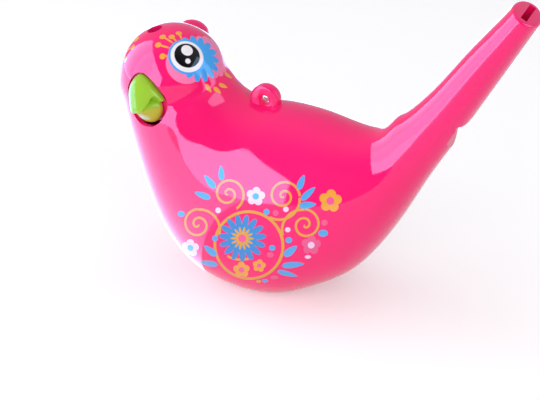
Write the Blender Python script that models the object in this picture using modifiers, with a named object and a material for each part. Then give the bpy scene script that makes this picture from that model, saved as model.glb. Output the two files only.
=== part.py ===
"""Bird whistle: a hollow moulded bird whose raised tail is the mouthpiece.

The skin is two half shells welded along the bird's mid-plane, with a coloured beak set into the head.
Frame: +X towards the tail, -Y towards the bird's left side, +Z up, origin at the middle of the
bottom of the bounding box, level with the flat foot under the belly. Sizes are in millimetres, and
MM turns them into metres.
"""

import math

import bmesh
import bpy
from mathutils import Matrix, Vector

MM = 0.001

# Clearances
WELD_GAP = 0.3
FIT_GAP = 0.3

# Skin
WALL = 1.7
SKIN_SIDES = 16
SKIN_LEVELS = 1
CAGE_ROUNDS = 12

# Head: a ball whose crown leans towards the breast, looking over the bird's left side
HEAD_RADIUS = 15.2
HEAD_X = -42.5
HEAD_Z = 57.5
HEAD_LEAN = math.radians(17.5)
HEAD_ROLL = math.radians(-7.0)
HEAD_TURN = math.radians(80.0)
HEAD_RINGS = 6
HEAD_LAST_RING = math.radians(94.0)

# Trunk sections in side view: (back x, z), (keel x, z), half width. They run from the neck through
# the belly to the root of the tail, fanned out around the hollow of the back. The keel is cut flat
# at Z = 0, where the bird stands.
TRUNK_SECTIONS = (
    ((-26.2, 59.2), (-54.0, 42.5), 16.1),
    ((-23.6, 56.6), (-50.3, 30.0), 17.3),
    ((-20.0, 54.9), (-44.8, 16.0), 18.9),
    ((-16.0, 54.2), (-36.2, 5.0), 20.6),
    ((-11.5, 54.5), (-24.5, -0.6), 21.6),
    ((-6.0, 54.3), (-11.2, -1.5), 21.6),
    ((0.5, 53.4), (-0.2, 2.5), 20.4),
    ((6.5, 52.0), (10.5, 9.0), 18.3),
    ((11.5, 51.1), (18.2, 17.8), 15.7),
    ((15.4, 51.3), (23.8, 26.7), 13.3),
    ((18.5, 53.2), (28.1, 34.8), 11.2),
    ((21.4, 56.2), (32.4, 42.9), 9.7),
)

# Mouthpiece: its underside is straight, and its back runs in to a thin flat end.
# Sections: distance from the end along the underside, thickness, half width.
TIP_X = 58.1
TIP_Z = 87.9
KEEL_ANGLE = math.radians(60.4)
TIP_THICKNESS = 8.3
TIP_HALF_WIDTH = 6.7
TIP_EDGE = 0.9
MOUTHPIECE_SECTIONS = (
    (42.0, 14.7, 8.6),
    (32.0, 12.6, 7.9),
    (20.0, 11.1, 7.3),
    (9.0, 9.4, 6.9),
    (2.8, 8.5, 6.75),
)

# Airway: a slot from the tail's end to a window under the tail, where a blade splits the air
SLOT_WIDTH = 9.8
SLOT_HEIGHT = 1.8
EXIT_HEIGHT = 1.5
EXIT_DEPTH = 2.3
WEB_THICKNESS = 1.6
WINDOW_DISTANCE = 35.0
WINDOW_LENGTH = 4.2
WINDOW_WIDTH = 10.4
BLADE_DEPTH = 2.7
BLADE_THICKNESS = 0.5
BLADE_RAMP = 4.0
NOTCH_DEPTH = 1.9
NOTCH_LENGTH = 7.8
LIP_LENGTH = 2.7
LIP_STEPS = 6
CAVITY_END = 13.0

# Hanging loop on the back
LOOP_X = -15.5
LOOP_Z = 55.5
LOOP_RADIUS = 4.2
LOOP_THICKNESS = 3.2
LOOP_HOLE_RADIUS = 1.15
LOOP_EDGE = 0.7

# Crest: a tuft swept back from the crown. Its middle lies this far behind and above the head's.
CREST_BACK = 13.9
CREST_UP = 8.6
CREST_SLOPE = math.radians(35.0)
CREST_HALF_HEIGHT = 3.3
CREST_HALF_WIDTH = 3.7
CREST_HALF_LENGTH = 5.3

# Vent in the crown, a little forward of the head's top
VENT_RADIUS = 2.15
VENT_FORWARD = math.radians(10.5)

# Socket for the beak: a recess with a flat floor, a boss behind it and a hole for the beak's peg.
# It is this much wider all round than the beak, and its floor lies this deep in the head's ball.
SOCKET_RIM = 0.6
SOCKET_DEPTH = 2.8
SOCKET_FLOOR = HEAD_RADIUS - SOCKET_DEPTH
SOCKET_LOW_SHARE = 0.42
SOCKET_PEAK = 0.18
SOCKET_SIDES = 36
BOSS_RADIUS = 8.2
BOSS_THICKNESS = 1.7
PEG_RADIUS = 2.4
PEG_LENGTH = 2.6

# Beak: sections of the upper and the lower bill as (distance in front of the head's ball, height
# above its middle), the top edge and then the bottom edge, with the half width. The first section of
# each lies in the socket.
BEAK_BACK = FIT_GAP - SOCKET_DEPTH
UPPER_BILL = (
    ((BEAK_BACK, 5.3), (BEAK_BACK, -3.0), 5.8),
    ((-0.9, 5.5), (-1.4, -2.9), 5.8),
    ((1.0, 5.2), (0.1, -1.2), 4.8),
    ((2.6, 3.9), (1.2, -1.1), 3.6),
    ((3.7, 2.0), (2.1, -2.2), 2.5),
    ((4.4, -0.3), (3.3, -3.0), 1.8),
    ((4.8, -2.6), (4.2, -3.4), 1.1),
)
LOWER_BILL = (
    ((BEAK_BACK, -1.0), (BEAK_BACK, -8.0), 4.6),
    ((-1.2, -1.0), (-1.3, -8.2), 4.6),
    ((0.2, -1.0), (0.3, -6.8), 3.7),
    ((1.6, -1.8), (1.8, -5.3), 2.5),
    ((3.0, -2.6), (3.2, -3.8), 1.0),
)
UPPER_BILL_LOW_SHARE = 0.08
LOWER_BILL_LOW_SHARE = 0.6
BILL_PEAK = 0.35
BILL_SIDES = 16

# Sides of the round shapes
ROUND_SIDES = 32
SMALL_ROUND_SIDES = 20

# Overshoot of a cutter past the face it cuts, and the size of a cutter that takes half of everything
PAST = 2.0
FAR = 200.0

ACROSS = Vector((0.0, 1.0, 0.0))
CUTTER_COLLECTION = "cutters"


def collection(name):
    made = bpy.data.collections.new(name)
    bpy.context.scene.collection.children.link(made)
    return made


def material(name, colour, roughness):
    made = bpy.data.materials.new(name)
    made.use_nodes = True
    shader = made.node_tree.nodes["Principled BSDF"]
    shader.inputs["Base Color"].default_value = (*colour, 1.0)
    shader.inputs["Roughness"].default_value = roughness
    return made


def add_mesh(name, mesh, home):
    made = bpy.data.objects.new(name, mesh)
    home.objects.link(made)
    if home.name == CUTTER_COLLECTION:
        made.hide_render = True
        made.display_type = "WIRE"
    return made


def add_bmesh(name, shape, home):
    """The shape, given in millimetres, as an object in metres with its faces pointing out."""
    bmesh.ops.recalc_face_normals(shape, faces=shape.faces)
    bmesh.ops.scale(shape, vec=Vector((MM, MM, MM)), verts=shape.verts)
    mesh = bpy.data.meshes.new(name)
    shape.to_mesh(mesh)
    shape.free()
    return add_mesh(name, mesh, home)


def boolean(target, operation, tool):
    modifier = target.modifiers.new(f"{operation.lower()} {tool.name}", "BOOLEAN")
    modifier.operation = operation
    modifier.solver = "EXACT"
    modifier.object = tool


def in_side_view(x, z):
    return Vector((x, 0.0, z))


# Lofts: rings of points that a subdivided cage passes through

def ring(top, bottom, half_width, sides, across=ACROSS, low_share=0.5, peak=0.0):
    """An oval ring between two points, widest at low_share of the way up, narrowed above by peak."""
    middle = bottom.lerp(top, low_share)
    points = []
    for index in range(sides):
        turn = math.tau * index / sides
        lift = math.cos(turn)
        reach = top - middle if lift > 0 else middle - bottom
        width = half_width * math.sin(turn) * (1 - peak * max(lift, 0.0))
        points.append(middle + lift * reach + width * across)
    return points


def smoothed(cage):
    """Where the subdivided surface lies for each point of the cage: its two cubic spline masks."""
    sides = len(cage[0])
    around = [
        [(row[index - 1] + 4 * row[index] + row[(index + 1) % sides]) / 6 for index in range(sides)]
        for row in cage
    ]
    along = [
        [(before + 4 * here + after) / 6 for before, here, after in zip(*rows)]
        for rows in zip(around, around[1:], around[2:])
    ]
    return [around[0], *along, around[-1]]


def cage_through(rings):
    """The cage whose subdivided surface passes through the rings."""
    cage = [list(row) for row in rings]
    for _ in range(CAGE_ROUNDS):
        drawn = smoothed(cage)
        cage = [
            [point + wanted - found for point, wanted, found in zip(*rows)]
            for rows in zip(cage, rings, drawn)
        ]
    return cage


def loft(name, rings, levels, home):
    """A closed skin through the rings, with flat ends."""
    shape = bmesh.new()
    rows = [[shape.verts.new(point) for point in row] for row in cage_through(rings)]
    for lower, upper in zip(rows, rows[1:]):
        for index in range(len(lower)):
            shape.faces.new((lower[index - 1], lower[index], upper[index], upper[index - 1]))
    shape.faces.new(rows[0])
    shape.faces.new(rows[-1])
    made = add_bmesh(name, shape, home)
    subdivision = made.modifiers.new("smooth skin", "SUBSURF")
    subdivision.levels = levels
    subdivision.render_levels = levels
    return made


# The head's own axes

def crown_axis():
    """The direction from the head's middle to its crown."""
    return Vector((-math.sin(HEAD_LEAN), math.sin(HEAD_ROLL), math.cos(HEAD_LEAN))).normalized()


def head_axes():
    """The head's forward, left and up directions."""
    forward = Vector((-math.cos(HEAD_TURN), -math.sin(HEAD_TURN), 0.0))
    up = crown_axis()
    left = up.cross(forward).normalized()
    forward = left.cross(up).normalized()
    pitch = Matrix.Rotation(-VENT_FORWARD, 3, left)
    return pitch @ forward, left, pitch @ up


def head_point(forward_size, left_size, up_size):
    forward, left, up = head_axes()
    middle = Vector((HEAD_X, 0.0, HEAD_Z))
    return middle + forward_size * forward + left_size * left + up_size * up


def head_frame(origin):
    """Local X forward, Y left and Z up in the head, at a point in millimetres."""
    forward, left, up = head_axes()
    turn = Matrix((forward, left, up)).transposed().to_4x4()
    return Matrix.Translation(origin) @ turn


# Skin

def head_rings(inset):
    """Circles on the head's ball, from the vent down to the neck."""
    radius = HEAD_RADIUS - inset
    crown = crown_axis()
    back = Vector((crown.z, 0.0, -crown.x)).normalized()
    across = crown.cross(back)
    middle = Vector((HEAD_X, 0.0, HEAD_Z))
    first = math.asin((VENT_RADIUS - FIT_GAP) / HEAD_RADIUS)
    rings = []
    for index in range(HEAD_RINGS):
        angle = first + (HEAD_LAST_RING - first) * index / (HEAD_RINGS - 1)
        centre = middle + radius * math.cos(angle) * crown
        reach = radius * math.sin(angle)
        rings.append(ring(centre + reach * back, centre - reach * back, reach, SKIN_SIDES, across))
    return rings


def trunk_rings(inset):
    rings = []
    for back, keel, half_width in TRUNK_SECTIONS:
        top = in_side_view(*back)
        bottom = in_side_view(*keel)
        pull = inset * (top - bottom).normalized()
        rings.append(ring(top - pull, bottom + pull, half_width - inset, SKIN_SIDES))
    return rings


def mouthpiece_ring(distance, depth_low, depth_high, half_width):
    low = in_side_view(*under_tail(distance, depth_low))
    high = in_side_view(*under_tail(distance, depth_high))
    return ring(high, low, half_width, SKIN_SIDES)


def under_tail(distance, depth):
    """A point of the mid-plane by its distance from the tail's end and its depth above the keel."""
    x = TIP_X - distance * math.cos(KEEL_ANGLE) - depth * math.sin(KEEL_ANGLE)
    z = TIP_Z - distance * math.sin(KEEL_ANGLE) + depth * math.cos(KEEL_ANGLE)
    return x, z


def outer_skin(home):
    rings = head_rings(0.0) + trunk_rings(0.0)
    for distance, thickness, half_width in MOUTHPIECE_SECTIONS:
        rings.append(mouthpiece_ring(distance, 0.0, thickness, half_width))
    rings.append(mouthpiece_ring(TIP_EDGE, 0.0, TIP_THICKNESS, TIP_HALF_WIDTH))
    rings.append(
        mouthpiece_ring(0.0, TIP_EDGE, TIP_THICKNESS - TIP_EDGE, TIP_HALF_WIDTH - TIP_EDGE)
    )
    return loft("outer_skin", rings, SKIN_LEVELS, home)


def cavity(home):
    """The hollow inside the skin, less the airway's block and the boss behind the beak."""
    rings = head_rings(WALL) + trunk_rings(WALL)
    for distance, thickness, half_width in MOUTHPIECE_SECTIONS:
        if distance > CAVITY_END:
            rings.append(mouthpiece_ring(distance, WALL, thickness - WALL, half_width - WALL))
    made = loft("cavity", rings, SKIN_LEVELS, home)
    boolean(made, "DIFFERENCE", airway_block(home))
    boolean(made, "DIFFERENCE", beak_boss(home))
    return made


def swept(name, outline, way, home):
    """A flat outline of points carried along one straight way."""
    shape = bmesh.new()
    face = shape.faces.new([shape.verts.new(point) for point in outline])
    copy = bmesh.ops.extrude_face_region(shape, geom=[face])
    moved = [item for item in copy["geom"] if isinstance(item, bmesh.types.BMVert)]
    bmesh.ops.translate(shape, vec=way, verts=moved)
    return add_bmesh(name, shape, home)


def prism(name, outline, half_width, home):
    """A side-view outline, given as (x, z) points, carried across the mid-plane."""
    return swept(name, [(x, -half_width, z) for x, z in outline], (0.0, 2 * half_width, 0.0), home)


def airway_block(home):
    """The web over the slot and the thick root of the blade, left standing in the hollow."""
    slot_top = EXIT_DEPTH + EXIT_HEIGHT + WEB_THICKNESS
    tip_top = (TIP_THICKNESS + SLOT_HEIGHT) / 2 + WEB_THICKNESS
    blade_back = BLADE_DEPTH + BLADE_THICKNESS
    window_end = WINDOW_DISTANCE + WINDOW_LENGTH
    web_end = WINDOW_DISTANCE + FIT_GAP
    outline = [
        under_tail(-PAST, -PAST),
        under_tail(-PAST, tip_top),
        under_tail(web_end, slot_top),
        under_tail(web_end, blade_back),
        under_tail(window_end + BLADE_RAMP, blade_back),
        under_tail(window_end + 2 * BLADE_RAMP, WALL / 2),
        under_tail(window_end + 2 * BLADE_RAMP, -PAST),
    ]
    return prism("airway_block", outline, SLOT_WIDTH, home)


def slot_cutter(home):
    middle = TIP_THICKNESS / 2
    outline = [
        under_tail(-PAST, middle - SLOT_HEIGHT / 2),
        under_tail(-PAST, middle + SLOT_HEIGHT / 2),
        under_tail(WINDOW_DISTANCE + FIT_GAP, EXIT_DEPTH + EXIT_HEIGHT),
        under_tail(WINDOW_DISTANCE + FIT_GAP, EXIT_DEPTH),
    ]
    return prism("slot_cutter", outline, SLOT_WIDTH / 2, home)


def window_cutter(home):
    """The window into the hollow, and the ramp that sharpens the blade."""
    window_end = WINDOW_DISTANCE + WINDOW_LENGTH
    outline = [
        under_tail(WINDOW_DISTANCE, -PAST),
        under_tail(WINDOW_DISTANCE, BLADE_DEPTH + BLADE_THICKNESS + 2 * PAST),
        under_tail(window_end, BLADE_DEPTH + BLADE_THICKNESS + 2 * PAST),
        under_tail(window_end, BLADE_DEPTH),
        under_tail(window_end + BLADE_RAMP, 0.0),
        under_tail(window_end + BLADE_RAMP, -PAST),
    ]
    return prism("window_cutter", outline, WINDOW_WIDTH / 2, home)


def notch_cutter(home):
    """The step under the tail: a rounded lip, then a long slope back out to the keel."""
    lip_end = WINDOW_DISTANCE + FIT_GAP
    outline = [under_tail(lip_end - LIP_LENGTH, -PAST)]
    for index in range(LIP_STEPS + 1):
        turn = math.pi / 2 * index / LIP_STEPS
        outline.append(
            under_tail(
                lip_end - LIP_LENGTH * (1 - math.sin(turn)),
                NOTCH_DEPTH * (1 - math.cos(turn)),
            )
        )
    outline.append(under_tail(WINDOW_DISTANCE + NOTCH_LENGTH, -FIT_GAP))
    outline.append(under_tail(WINDOW_DISTANCE + NOTCH_LENGTH, -PAST))
    return prism("notch_cutter", outline, 2 * TIP_HALF_WIDTH, home)


# Features of the skin

def cylinder(name, radius, length, frame, home, segments=ROUND_SIDES):
    """A cylinder along its frame's Z, centred on the frame, with sizes in millimetres."""
    shape = bmesh.new()
    bmesh.ops.create_cone(
        shape,
        cap_ends=True,
        segments=segments,
        radius1=radius,
        radius2=radius,
        depth=length,
        matrix=frame,
    )
    return add_bmesh(name, shape, home)


def loop_frame():
    return Matrix.Translation((LOOP_X, 0.0, LOOP_Z)) @ Matrix.Rotation(math.pi / 2, 4, "X")


def loop_disc(home):
    made = cylinder("loop_disc", LOOP_RADIUS, LOOP_THICKNESS, loop_frame(), home)
    edge = made.modifiers.new("rounded edge", "BEVEL")
    edge.width = LOOP_EDGE * MM
    edge.segments = 3
    return made


def loop_hole(home):
    length = LOOP_THICKNESS + 2 * PAST
    return cylinder("loop_hole", LOOP_HOLE_RADIUS, length, loop_frame(), home, SMALL_ROUND_SIDES)


def crest(home):
    """A tuft that stands on the back of the head and lies back along it."""
    middle = head_point(-CREST_BACK, 0.0, CREST_UP)
    slope = Matrix.Rotation(-CREST_SLOPE, 4, "Y")
    sizes = Matrix.Diagonal((CREST_HALF_LENGTH, CREST_HALF_WIDTH, CREST_HALF_HEIGHT, 1.0))
    shape = bmesh.new()
    bmesh.ops.create_uvsphere(
        shape,
        u_segments=ROUND_SIDES,
        v_segments=ROUND_SIDES // 2,
        radius=1.0,
        matrix=head_frame(middle) @ slope @ sizes,
    )
    return add_bmesh("crest", shape, home)


def vent_cutter(home):
    crown = crown_axis()
    turn = crown.to_track_quat("Z", "Y").to_matrix().to_4x4()
    middle = Vector((HEAD_X, 0.0, HEAD_Z)) + HEAD_RADIUS * crown
    length = 2 * (WALL + PAST)
    return cylinder("vent_cutter", VENT_RADIUS, length, Matrix.Translation(middle) @ turn, home)


# Beak and its socket

def bill_rings(sections, low_share, peak):
    left = head_axes()[1]
    rings = []
    for top, bottom, half_width in sections:
        high = head_point(HEAD_RADIUS + top[0], 0.0, top[1])
        low = head_point(HEAD_RADIUS + bottom[0], 0.0, bottom[1])
        rings.append(ring(high, low, half_width, BILL_SIDES, left, low_share, peak))
    return rings


def along_beak(name, radius, start, end, home, segments=ROUND_SIDES):
    """A cylinder along the beak's forward axis between two distances from the head's middle."""
    frame = head_frame(head_point((start + end) / 2, 0.0, 0.0)) @ Matrix.Rotation(math.pi / 2, 4, "Y")
    return cylinder(name, radius, end - start, frame, home, segments)


def beak_boss(home):
    return along_beak(
        "beak_boss", BOSS_RADIUS, SOCKET_FLOOR - BOSS_THICKNESS, HEAD_RADIUS + PAST, home
    )


def socket_cutter(home):
    """A recess with a flat floor, wider all round than the root of the beak."""
    forward, left, _ = head_axes()
    high = head_point(SOCKET_FLOOR, 0.0, UPPER_BILL[1][0][1] + SOCKET_RIM)
    low = head_point(SOCKET_FLOOR, 0.0, LOWER_BILL[1][1][1] - SOCKET_RIM)
    half_width = UPPER_BILL[1][2] + SOCKET_RIM
    outline = ring(high, low, half_width, SOCKET_SIDES, left, SOCKET_LOW_SHARE, SOCKET_PEAK)
    return swept("socket_cutter", outline, (HEAD_RADIUS + PAST - SOCKET_FLOOR) * forward, home)


def peg_hole(home):
    return along_beak(
        "peg_hole", PEG_RADIUS + FIT_GAP, SOCKET_FLOOR - BOSS_THICKNESS - PAST, SOCKET_FLOOR + PAST, home
    )


def beak(parts, cutters):
    """Both bills in one piece, with the peg that holds them in the head."""
    made = loft("beak", bill_rings(UPPER_BILL, UPPER_BILL_LOW_SHARE, BILL_PEAK), SKIN_LEVELS, parts)
    lower_rings = bill_rings(LOWER_BILL, LOWER_BILL_LOW_SHARE, 0.0)
    boolean(made, "UNION", loft("lower_bill", lower_rings, SKIN_LEVELS, cutters))
    peg = along_beak(
        "beak_peg", PEG_RADIUS, SOCKET_FLOOR - PEG_LENGTH, SOCKET_FLOOR + PAST, cutters, SMALL_ROUND_SIDES
    )
    boolean(made, "UNION", peg)
    return made


# Halves

def half_space(name, side, home):
    """Everything above the ground on one side of the mid-plane, half the weld gap away from it."""
    middle = Vector((0.0, side * (FAR / 2 + WELD_GAP / 2), FAR / 2))
    shape = bmesh.new()
    bmesh.ops.create_cube(shape, size=FAR, matrix=Matrix.Translation(middle))
    return add_bmesh(name, shape, home)


def whole_body(cutters):
    body = outer_skin(cutters)
    for tool in (loop_disc(cutters), crest(cutters)):
        boolean(body, "UNION", tool)
    for tool in (
        cavity(cutters),
        slot_cutter(cutters),
        window_cutter(cutters),
        notch_cutter(cutters),
        loop_hole(cutters),
        vent_cutter(cutters),
        socket_cutter(cutters),
        peg_hole(cutters),
    ):
        boolean(body, "DIFFERENCE", tool)
    return body


def evaluated_copy(source, name, home):
    graph = bpy.context.evaluated_depsgraph_get()
    mesh = bpy.data.meshes.new_from_object(source.evaluated_get(graph))
    return add_mesh(name, mesh, home)


def finish(target, paint):
    target.data.materials.clear()
    target.data.materials.append(paint)
    target.data.shade_smooth()


def main():
    for old in list(bpy.data.objects):
        bpy.data.objects.remove(old, do_unlink=True)
    parts = collection("bird_whistle")
    cutters = collection(CUTTER_COLLECTION)
    pink = material("pink_plastic", (0.95, 0.03, 0.19), 0.12)
    green = material("green_plastic", (0.35, 0.68, 0.05), 0.25)
    body = whole_body(cutters)
    for name, side in (("body_left_shell", -1), ("body_right_shell", 1)):
        half = evaluated_copy(body, name, parts)
        boolean(half, "INTERSECT", half_space(f"{name}_side", side, cutters))
        finish(half, pink)
    finish(beak(parts, cutters), green)


main()
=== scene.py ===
"""Bird whistle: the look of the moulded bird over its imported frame.

One seamless glossy skin covers both welded half shells, with the eyes and the flowers printed on
it, and a beak of two bills sits in its recess. Sizes are in millimetres unless a comment says
otherwise, and MM turns them into metres.
"""

import math

import bpy
from mathutils import Matrix, Vector

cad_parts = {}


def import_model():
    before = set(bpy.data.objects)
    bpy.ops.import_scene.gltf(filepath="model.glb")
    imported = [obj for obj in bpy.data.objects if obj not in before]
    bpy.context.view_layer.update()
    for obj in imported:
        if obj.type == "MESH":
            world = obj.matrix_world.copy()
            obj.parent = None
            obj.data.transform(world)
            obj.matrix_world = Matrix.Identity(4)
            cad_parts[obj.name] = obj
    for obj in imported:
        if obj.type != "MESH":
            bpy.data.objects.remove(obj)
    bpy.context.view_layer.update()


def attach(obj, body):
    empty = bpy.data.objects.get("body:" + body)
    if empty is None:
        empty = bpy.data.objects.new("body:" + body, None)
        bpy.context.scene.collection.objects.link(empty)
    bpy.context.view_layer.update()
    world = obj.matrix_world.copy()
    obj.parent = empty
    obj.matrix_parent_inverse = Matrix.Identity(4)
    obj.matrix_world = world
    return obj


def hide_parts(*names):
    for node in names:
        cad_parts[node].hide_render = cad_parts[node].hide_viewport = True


MM = 0.001

# Skin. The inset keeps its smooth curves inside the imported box
WALL = 1.7
SKIN_INSET = 0.06
SKIN_SIDES = 96
SKIN_STEPS = 5
HULL_ROUNDS = 12
SHARP_ANGLE = math.radians(32)

# Head
HEAD_RADIUS = 15.2
HEAD_MIDDLE = Vector((-42.5, 0.0, 57.5))
HEAD_LEAN = math.radians(17.5)
HEAD_ROLL = math.radians(-7.0)
HEAD_TURN = math.radians(80.0)
HEAD_RINGS = 6
HEAD_LAST_RING = math.radians(94.0)
FIRST_RING_INSIDE_VENT = 0.3

# Trunk sections in side view: (back x, z), (keel x, z), half width
TRUNK_SECTIONS = (
    ((-26.2, 59.2), (-54.0, 42.5), 16.1),
    ((-23.6, 56.6), (-50.3, 30.0), 17.3),
    ((-20.0, 54.9), (-44.8, 16.0), 18.9),
    ((-16.0, 54.2), (-36.2, 5.0), 20.6),
    ((-11.5, 54.5), (-24.5, -0.6), 21.6),
    ((-6.0, 54.3), (-11.2, -1.5), 21.6),
    ((0.5, 53.4), (-0.2, 2.5), 20.4),
    ((6.5, 52.0), (10.5, 9.0), 18.3),
    ((11.5, 51.1), (18.2, 17.8), 15.7),
    ((15.4, 51.3), (23.8, 26.7), 13.3),
    ((18.5, 53.2), (28.1, 34.8), 11.2),
    ((21.4, 56.2), (32.4, 42.9), 9.7),
)

# Mouthpiece sections: distance from the tail's end along the keel, thickness, half width
TAIL_END = Vector((58.1, 0.0, 87.9))
KEEL_ANGLE = math.radians(60.4)
END_THICKNESS = 8.3
END_HALF_WIDTH = 6.7
END_EDGE = 0.9
END_EDGE_SHARES = (0.0, 1 / 3, 2 / 3, 1.0)
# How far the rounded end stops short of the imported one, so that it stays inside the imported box
END_SHORT = 0.36
MOUTHPIECE_SECTIONS = (
    (42.0, 14.7, 8.6),
    (32.0, 12.6, 7.9),
    (20.0, 11.1, 7.3),
    (9.0, 9.4, 6.9),
    (2.8, 8.5, 6.75),
)
HOLLOW_END = 13.0

# Airway
SLOT_WIDTH = 9.8
SLOT_HEIGHT = 1.8
EXIT_HEIGHT = 1.5
EXIT_DEPTH = 2.3
WEB_THICKNESS = 1.6
WINDOW_START = 35.0
WINDOW_END = 39.2
WINDOW_WIDTH = 10.4
BLADE_DEPTH = 2.7
BLADE_BACK = 3.2
BLADE_RAMP = 4.0
LIP_END = 35.3
LIP_LENGTH = 2.7
LIP_STEPS = 8
NOTCH_DEPTH = 1.9
NOTCH_END = 42.8
NOTCH_RUN_OUT = -0.3

# Loop, crest, vent, socket, and the boss behind the socket
LOOP_MIDDLE = Vector((-15.5, 0.0, 55.5))
LOOP_RADIUS = 4.2
LOOP_THICKNESS = 3.2
LOOP_HOLE_RADIUS = 1.15
LOOP_HOLE_LENGTH = 9.0
LOOP_EDGE = 0.9
LOOP_EDGE_STEPS = 4
CREST_PLACE = (-13.9, 0.0, 8.6)
CREST_SLOPE = math.radians(35.0)
CREST_SIZE = (5.3, 3.7, 3.3)
VENT_RADIUS = 2.15
VENT_TOOL_LENGTH = 8.0
VENT_FORWARD = math.radians(10.5)
SOCKET_FLOOR = 12.4
SOCKET_TOP = 6.1
SOCKET_BOTTOM = -8.8
SOCKET_HALF_WIDTH = 6.4
SOCKET_LOW_SHARE = 0.42
SOCKET_PEAK = 0.18
SOCKET_SIDES = 64
SOCKET_TOOL_LENGTH = 8.0
BOSS_RADIUS = 8.2
BOSS_LENGTH = 8.0
BOSS_MIDDLE = SOCKET_FLOOR + 2.3

# Beak: sections of each bill as (forward, up) of its top edge, of its bottom edge, half width
BILL_SIDES = 64
BILL_STEPS = 6
UPPER_BILL = (
    ((12.8, 5.5), (12.8, -2.9), 5.3),
    ((14.2, 5.6), (13.7, -2.7), 5.3),
    ((16.2, 4.9), (15.0, -1.0), 4.6),
    ((17.8, 3.4), (16.2, -0.9), 3.7),
    ((18.9, 1.4), (17.4, -2.2), 2.9),
    ((19.6, -0.6), (18.6, -3.0), 2.2),
    ((19.9, -2.3), (19.4, -3.5), 1.3),
)
LOWER_BILL = (
    ((12.8, -1.0), (12.8, -7.9), 4.0),
    ((14.0, -1.0), (13.9, -8.0), 4.0),
    ((15.4, -1.1), (15.4, -7.0), 3.3),
    ((16.8, -1.8), (16.8, -5.5), 2.4),
    ((18.0, -2.6), (18.2, -4.3), 1.2),
)
UPPER_BILL_LOW_SHARE = 0.08
LOWER_BILL_LOW_SHARE = 0.6
BILL_PEAK = 0.35
PEG_RADIUS = 2.4
PEG_LENGTH = 4.6
PEG_MIDDLE = SOCKET_FLOOR - 0.3
# Where the painted shade and pink bounce light on the lower bill start, over the head's middle
MOUTH_HEIGHT = -2.9

# Camera
CAMERA_AZIMUTH = math.radians(21.2)
CAMERA_ELEVATION = math.radians(26.8)
CAMERA_TARGET = Vector((-14.35, 0.0, 25.1))
CAMERA_DISTANCE = 500.0
CAMERA_LENS = 120.67

# Overshoot of a cutter past the face it cuts
PAST = 2.0

ACROSS = Vector((0.0, 1.0, 0.0))


# Directions and places

def side_view(x, z):
    return Vector((x, 0.0, z))


def crown_axis():
    return Vector((-math.sin(HEAD_LEAN), math.sin(HEAD_ROLL), math.cos(HEAD_LEAN))).normalized()


def head_axes():
    """The head's forward, left and up directions."""
    forward = Vector((-math.cos(HEAD_TURN), -math.sin(HEAD_TURN), 0.0))
    up = crown_axis()
    left = up.cross(forward).normalized()
    forward = left.cross(up).normalized()
    pitch = Matrix.Rotation(-VENT_FORWARD, 3, left)
    return pitch @ forward, left, pitch @ up


def head_point(forward_size, left_size, up_size):
    forward, left, up = head_axes()
    return HEAD_MIDDLE + forward_size * forward + left_size * left + up_size * up


def camera_axes():
    """The camera's right, up and back directions."""
    sin_a, cos_a = math.sin(CAMERA_AZIMUTH), math.cos(CAMERA_AZIMUTH)
    sin_e, cos_e = math.sin(CAMERA_ELEVATION), math.cos(CAMERA_ELEVATION)
    back = Vector((sin_a * cos_e, -cos_a * cos_e, sin_e))
    right = Vector((cos_a, sin_a, 0.0))
    return right, back.cross(right), back


def under_tail(distance, depth):
    """A point of the mid-plane by its distance from the tail's end and its depth above the keel."""
    along = Vector((math.cos(KEEL_ANGLE), 0.0, math.sin(KEEL_ANGLE)))
    inward = Vector((-math.sin(KEEL_ANGLE), 0.0, math.cos(KEEL_ANGLE)))
    return TAIL_END - distance * along + depth * inward


def matrix_of(x_axis, y_axis, z_axis, place):
    """A matrix in metres from axes and a place in millimetres."""
    turn = Matrix((x_axis, y_axis, z_axis)).transposed().to_4x4()
    return Matrix.Diagonal((MM, MM, MM, 1.0)) @ Matrix.Translation(place) @ turn


# Modelling

def deselect():
    bpy.ops.object.select_all(action="DESELECT")


def select_only(piece):
    deselect()
    piece.select_set(True)
    bpy.context.view_layer.objects.active = piece


def finish_mesh(piece):
    """Welds doubles, turns every face outwards and settles the piece at the origin."""
    select_only(piece)
    bpy.ops.object.transform_apply(location=True, rotation=True, scale=True)
    bpy.ops.object.mode_set(mode="EDIT")
    bpy.ops.mesh.select_all(action="SELECT")
    bpy.ops.mesh.remove_doubles(threshold=0.002 * MM)
    bpy.ops.mesh.normals_make_consistent(inside=False)
    bpy.ops.object.mode_set(mode="OBJECT")


def shade(piece):
    """Finishes the mesh and smooths it, with its sharp edges kept."""
    finish_mesh(piece)
    select_only(piece)
    bpy.ops.object.shade_smooth_by_angle(angle=SHARP_ANGLE)


def apply_modifier(piece, modifier):
    select_only(piece)
    bpy.ops.object.modifier_apply(modifier=modifier.name)


def combine(piece, operation, tool):
    """Joins or cuts the piece with the tool, and takes the tool away."""
    modifier = piece.modifiers.new(tool.name, "BOOLEAN")
    modifier.operation = operation
    modifier.solver = "EXACT"
    modifier.object = tool
    apply_modifier(piece, modifier)
    bpy.data.objects.remove(tool)


def oval(name, sides, low_share=0.5, peak=0.0):
    """A ring two units high and wide, widest at low_share of its height, narrowed above by peak."""
    deselect()
    bpy.ops.mesh.primitive_circle_add(vertices=sides, radius=1.0)
    ring = bpy.context.object
    ring.name = name
    for point in ring.data.vertices:
        lift = point.co.y
        share = 1 - low_share if lift > 0 else low_share
        point.co.x *= 1 - peak * max(lift, 0.0)
        point.co.y = 2 * low_share - 1 + 2 * share * lift
    return ring


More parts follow.
